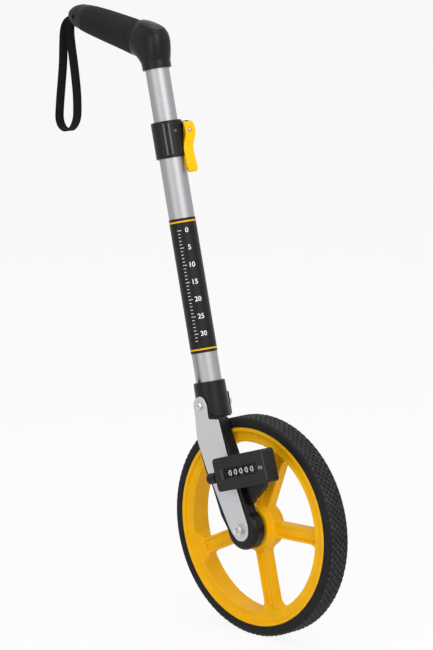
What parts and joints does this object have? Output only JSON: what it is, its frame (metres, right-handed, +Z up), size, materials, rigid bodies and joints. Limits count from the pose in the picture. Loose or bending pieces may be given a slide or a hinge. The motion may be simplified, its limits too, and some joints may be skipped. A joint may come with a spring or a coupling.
{
  "type": "measuring wheel",
  "caption": "Measuring wheel: spoked yellow wheel on a one-sided arm, mechanical distance counter, telescoping tube with a cam clamp, soft grip and wrist strap.",
  "frame": {"origin": "middle of the hand grip, on its axis", "axes": "+X the walking direction, +Z up, the tubes in the plane y = 0 and the wheel beside them towards +Y"},
  "size_m": [0.5727, 0.0901, 0.8842],
  "materials": {
    "aluminium": "satin anodised tube",
    "steel": "plated fasteners",
    "zinc": "zinc plated",
    "black_plastic": "satin moulded",
    "dark_plastic": "satin moulded",
    "grip_rubber": "soft and pebbled",
    "webbing": "woven",
    "yellow_plastic": "smooth moulded",
    "tyre_rubber": "matte with a fine tread",
    "label_print": "printed sleeve",
    "clear": "clear pane",
    "drum_black": "printed drums",
    "belt_rubber": "matte",
    "brass": "cut teeth"
  },
  "bodies": {
    "handle": {"handle_body": "black_plastic", "grip_sleeve": "grip_rubber", "grip_end_cap": "black_plastic", "end_cap_screw": "steel", "strap_pin": "steel", "wrist_strap": "webbing", "tube_screw": "steel", "upper_tube": "aluminium", "glide_plug": "black_plastic"},
    "lower": {"lower_tube": "aluminium", "tube_label": "label_print", "guide_ring": "black_plastic", "clamp_collar": "black_plastic", "clamp_bolt": "steel", "clamp_washer": "steel", "clamp_nut": "steel", "lever_barrel": "steel", "side_arm": "black_plastic", "side_plate": "aluminium", "inner_plate": "aluminium", "socket_bolt": "zinc", "socket_washer": "zinc", "socket_nut": "zinc", "axle_bolt": "zinc", "axle_head_washer": "zinc", "axle_washer": "zinc", "axle_nut": "zinc", "drive_belt": "belt_rubber", "counter_case": "dark_plastic", "counter_cover": "dark_plastic", "counter_window": "clear", "counter_end_plate": "dark_plastic", "counter_screw_1": "steel", "counter_screw_2": "steel", "carry_shaft": "steel"},
    "lever": {"cam_lever": "yellow_plastic"},
    "wheel": {"wheel": "yellow_plastic", "tyre": "tyre_rubber", "bearing_near": "steel", "bearing_far": "steel", "bearing_spacer": "zinc", "hub_pulley": "black_plastic"},
    "counter_drive": {"worm_shaft": "steel", "counter_pulley": "black_plastic"},
    "metre_drum": {"drum_shaft": "steel", "worm_wheel": "brass", "digit_drum_5": "drum_black"},
    "drum_4": {"digit_drum_4": "drum_black"},
    "drum_3": {"digit_drum_3": "drum_black"},
    "drum_2": {"digit_drum_2": "drum_black"},
    "drum_1": {"digit_drum_1": "drum_black"},
    "pinion_4": {"carry_pinion_4": "brass"},
    "pinion_3": {"carry_pinion_3": "brass"},
    "pinion_2": {"carry_pinion_2": "brass"},
    "pinion_1": {"carry_pinion_1": "brass"},
    "reset": {"reset_knob": "dark_plastic", "reset_shaft": "dark_plastic"}
  },
  "joints": [
    {"name": "handle_slide", "type": "slide", "parent": "handle", "child": "lower", "axis": [0.2363, 0, -0.9717], "range_m": [-0.068, 0.26]},
    {"name": "lever_flip", "type": "hinge", "parent": "lower", "child": "lever", "pos_m": [0.14403, 0.01907, -0.13308], "axis": [-0.3163, -0.9455, -0.0769], "range_deg": [0, 105]},
    {"name": "wheel_spin", "type": "hinge", "parent": "lower", "child": "wheel", "pos_m": [0.29989, 0.015, -0.69548], "axis": [0, 1, 0], "continuous": true},
    {"name": "counter_drive_spin", "type": "hinge", "parent": "lower", "child": "counter_drive", "pos_m": [0.29316, -0.0317, -0.6196], "axis": [0, 1, 0], "continuous": true},
    {"name": "metre_drum_spin", "type": "hinge", "parent": "lower", "child": "metre_drum", "pos_m": [0.34248, -0.0317, -0.59546], "axis": [0.9537, 0, 0.3007], "continuous": true},
    {"name": "drum_4_spin", "type": "hinge", "parent": "lower", "child": "drum_4", "pos_m": [0.33171, -0.0317, -0.59885], "axis": [0.9537, 0, 0.3007], "continuous": true},
    {"name": "drum_3_spin", "type": "hinge", "parent": "lower", "child": "drum_3", "pos_m": [0.32093, -0.0317, -0.60225], "axis": [0.9537, 0, 0.3007], "continuous": true},
    {"name": "drum_2_spin", "type": "hinge", "parent": "lower", "child": "drum_2", "pos_m": [0.31015, -0.0317, -0.60565], "axis": [0.9537, 0, 0.3007], "continuous": true},
    {"name": "drum_1_spin", "type": "hinge", "parent": "lower", "child": "drum_1", "pos_m": [0.29938, -0.0317, -0.60905], "axis": [0.9537, 0, 0.3007], "continuous": true},
    {"name": "pinion_4_spin", "type": "hinge", "parent": "lower", "child": "pinion_4", "pos_m": [0.33192, -0.0349, -0.58075], "axis": [0.9537, 0, 0.3007], "continuous": true},
    {"name": "pinion_3_spin", "type": "hinge", "parent": "lower", "child": "pinion_3", "pos_m": [0.32115, -0.0349, -0.58415], "axis": [0.9537, 0, 0.3007], "continuous": true},
    {"name": "pinion_2_spin", "type": "hinge", "parent": "lower", "child": "pinion_2", "pos_m": [0.31037, -0.0349, -0.58755], "axis": [0.9537, 0, 0.3007], "continuous": true},
    {"name": "pinion_1_spin", "type": "hinge", "parent": "lower", "child": "pinion_1", "pos_m": [0.29959, -0.0349, -0.59095], "axis": [0.9537, 0, 0.3007], "continuous": true},
    {"name": "reset_turn", "type": "hinge", "parent": "lower", "child": "reset", "pos_m": [0.32269, -0.041, -0.60484], "axis": [0.9537, 0, 0.3007], "continuous": true}
  ],
  "couplings": [
    {"joint": "counter_drive_spin", "follows": "wheel_spin", "ratio": 1},
    {"joint": "metre_drum_spin", "follows": "wheel_spin", "ratio": -0.1},
    {"joint": "drum_4_spin", "follows": "wheel_spin", "ratio": -0.01},
    {"joint": "drum_3_spin", "follows": "wheel_spin", "ratio": -0.001},
    {"joint": "drum_2_spin", "follows": "wheel_spin", "ratio": -0.0001},
    {"joint": "drum_1_spin", "follows": "wheel_spin", "ratio": -0.00001},
    {"joint": "pinion_4_spin", "follows": "wheel_spin", "ratio": 0.025},
    {"joint": "pinion_3_spin", "follows": "wheel_spin", "ratio": 0.0025},
    {"joint": "pinion_2_spin", "follows": "wheel_spin", "ratio": 0.00025},
    {"joint": "pinion_1_spin", "follows": "wheel_spin", "ratio": 0.000025}
  ]
}
